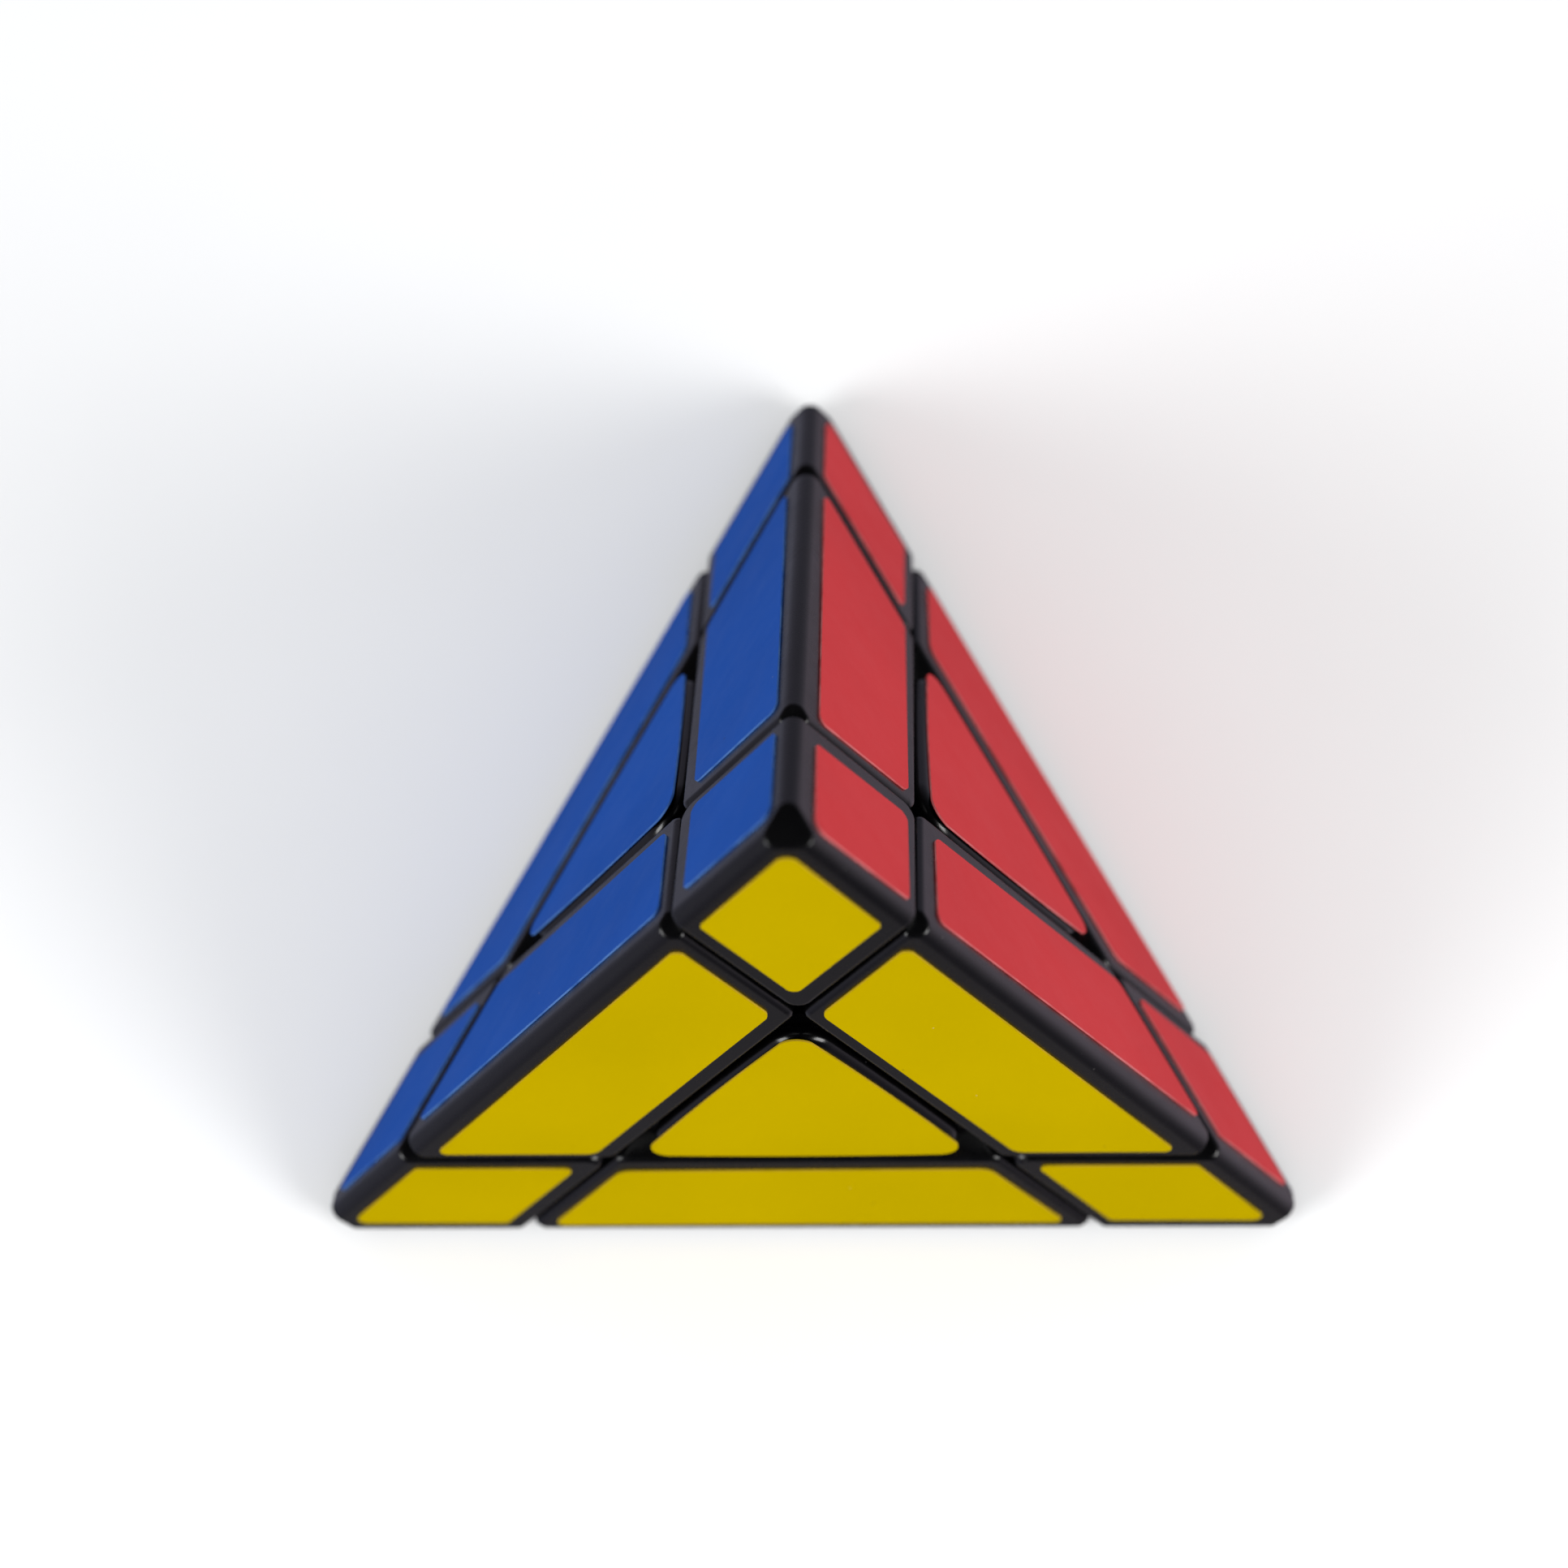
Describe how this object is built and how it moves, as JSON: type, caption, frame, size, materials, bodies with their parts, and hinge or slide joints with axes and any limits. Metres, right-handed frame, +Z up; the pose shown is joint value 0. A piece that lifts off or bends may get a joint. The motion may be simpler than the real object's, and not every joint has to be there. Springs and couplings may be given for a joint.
{
  "type": "pyramid twisty puzzle",
  "caption": "Tetrahedral twisty puzzle with coloured corner, edge and centre films on black pieces, held by sprung screws on a core so that its face layers turn.",
  "frame": {"origin": "middle of the face that the puzzle stands on", "axes": "+Z up through the opposite tip, -Y towards the front edge and the yellow face, +X to the right"},
  "size_m": [0.0914, 0.08, 0.075],
  "materials": {
    "black_plastic": "satin moulded black",
    "core_plastic": "plain moulded dark grey",
    "steel": "zinc-plated",
    "spring_steel": "drawn wire",
    "green_film": "thin vinyl film",
    "yellow_film": "thin vinyl film",
    "blue_film": "thin vinyl film",
    "red_film": "thin vinyl film"
  },
  "bodies": {
    "bottom_layer": {"left_corner_shell": "black_plastic", "left_corner_foot": "black_plastic", "right_corner_shell": "black_plastic", "right_corner_foot": "black_plastic", "rear_corner_shell": "black_plastic", "rear_corner_foot": "black_plastic", "front_edge_shell": "black_plastic", "front_edge_foot": "black_plastic", "base_left_edge_shell": "black_plastic", "base_left_edge_foot": "black_plastic", "base_right_edge_shell": "black_plastic", "base_right_edge_foot": "black_plastic", "green_corner_films": "green_film", "green_edge_films": "green_film", "yellow_base_corner_films": "yellow_film", "yellow_base_edge_film": "yellow_film", "blue_base_corner_films": "blue_film", "blue_base_edge_film": "blue_film", "red_base_corner_films": "red_film", "red_base_edge_film": "red_film"},
    "upper_block": {"core_ball": "core_plastic", "top_corner_shell": "black_plastic", "top_corner_foot": "black_plastic", "left_edge_shell": "black_plastic", "left_edge_foot": "black_plastic", "right_edge_shell": "black_plastic", "right_edge_foot": "black_plastic", "rear_edge_shell": "black_plastic", "rear_edge_foot": "black_plastic", "yellow_tip_corner_film": "yellow_film", "yellow_upper_edge_films": "yellow_film", "blue_tip_corner_film": "blue_film", "blue_upper_edge_films": "blue_film", "red_tip_corner_film": "red_film", "red_upper_edge_films": "red_film", "green_spring": "spring_steel", "yellow_spring": "spring_steel", "blue_spring": "spring_steel", "red_spring": "spring_steel"},
    "green_centre": {"green_centre_base": "black_plastic", "green_centre_cap": "black_plastic", "green_centre_film": "green_film"},
    "green_screw_travel": {"green_screw_washer": "steel"},
    "green_screw": {"green_tension_screw": "steel"},
    "yellow_centre": {"yellow_centre_base": "black_plastic", "yellow_centre_cap": "black_plastic", "yellow_centre_film": "yellow_film"},
    "yellow_screw_travel": {"yellow_screw_washer": "steel"},
    "yellow_screw": {"yellow_tension_screw": "steel"},
    "blue_centre": {"blue_centre_base": "black_plastic", "blue_centre_cap": "black_plastic", "blue_centre_film": "blue_film"},
    "blue_screw_travel": {"blue_screw_washer": "steel"},
    "blue_screw": {"blue_tension_screw": "steel"},
    "red_centre": {"red_centre_base": "black_plastic", "red_centre_cap": "black_plastic", "red_centre_film": "red_film"},
    "red_screw_travel": {"red_screw_washer": "steel"},
    "red_screw": {"red_tension_screw": "steel"}
  },
  "joints": [
    {"name": "bottom_layer_turn", "type": "hinge", "parent": "bottom_layer", "child": "upper_block", "pos_m": [0, 0, 0.02], "axis": [0, 0, 1], "continuous": true},
    {"name": "green_centre_float", "type": "slide", "parent": "bottom_layer", "child": "green_centre", "axis": [0, 0, -1], "range_m": [0, 0.0006], "stiffness_N_per_m": 300, "deforming": ["green_spring"]},
    {"name": "green_screw_advance", "type": "slide", "parent": "upper_block", "child": "green_screw_travel", "axis": [0, 0, -1], "range_m": [-0.00045, 0.00045]},
    {"name": "green_screw_turn", "type": "hinge", "parent": "green_screw_travel", "child": "green_screw", "pos_m": [0, 0, 0.02], "axis": [0, 0, -1], "range_deg": [-360, 360]},
    {"name": "yellow_centre_float", "type": "slide", "parent": "upper_block", "child": "yellow_centre", "axis": [0, -0.9428, 0.3333], "range_m": [0, 0.0006], "stiffness_N_per_m": 300, "deforming": ["yellow_spring"]},
    {"name": "yellow_screw_advance", "type": "slide", "parent": "upper_block", "child": "yellow_screw_travel", "axis": [0, -0.9428, 0.3333], "range_m": [-0.00045, 0.00045]},
    {"name": "yellow_screw_turn", "type": "hinge", "parent": "yellow_screw_travel", "child": "yellow_screw", "pos_m": [0, 0, 0.02], "axis": [0, -0.9428, 0.3333], "range_deg": [-360, 360]},
    {"name": "blue_centre_float", "type": "slide", "parent": "upper_block", "child": "blue_centre", "axis": [-0.8165, 0.4714, 0.3333], "range_m": [0, 0.0006], "stiffness_N_per_m": 300, "deforming": ["blue_spring"]},
    {"name": "blue_screw_advance", "type": "slide", "parent": "upper_block", "child": "blue_screw_travel", "axis": [-0.8165, 0.4714, 0.3333], "range_m": [-0.00045, 0.00045]},
    {"name": "blue_screw_turn", "type": "hinge", "parent": "blue_screw_travel", "child": "blue_screw", "pos_m": [0, 0, 0.02], "axis": [-0.8165, 0.4714, 0.3333], "range_deg": [-360, 360]},
    {"name": "red_centre_float", "type": "slide", "parent": "upper_block", "child": "red_centre", "axis": [0.8165, 0.4714, 0.3333], "range_m": [0, 0.0006], "stiffness_N_per_m": 300, "deforming": ["red_spring"]},
    {"name": "red_screw_advance", "type": "slide", "parent": "upper_block", "child": "red_screw_travel", "axis": [0.8165, 0.4714, 0.3333], "range_m": [-0.00045, 0.00045]},
    {"name": "red_screw_turn", "type": "hinge", "parent": "red_screw_travel", "child": "red_screw", "pos_m": [0, 0, 0.02], "axis": [0.8165, 0.4714, 0.3333], "range_deg": [-360, 360]}
  ],
  "couplings": [
    {"joint": "green_screw_turn", "follows": "green_screw_advance", "rad_per_m": 13963},
    {"joint": "yellow_screw_turn", "follows": "yellow_screw_advance", "rad_per_m": 13963},
    {"joint": "blue_screw_turn", "follows": "blue_screw_advance", "rad_per_m": 13963},
    {"joint": "red_screw_turn", "follows": "red_screw_advance", "rad_per_m": 13963}
  ]
}
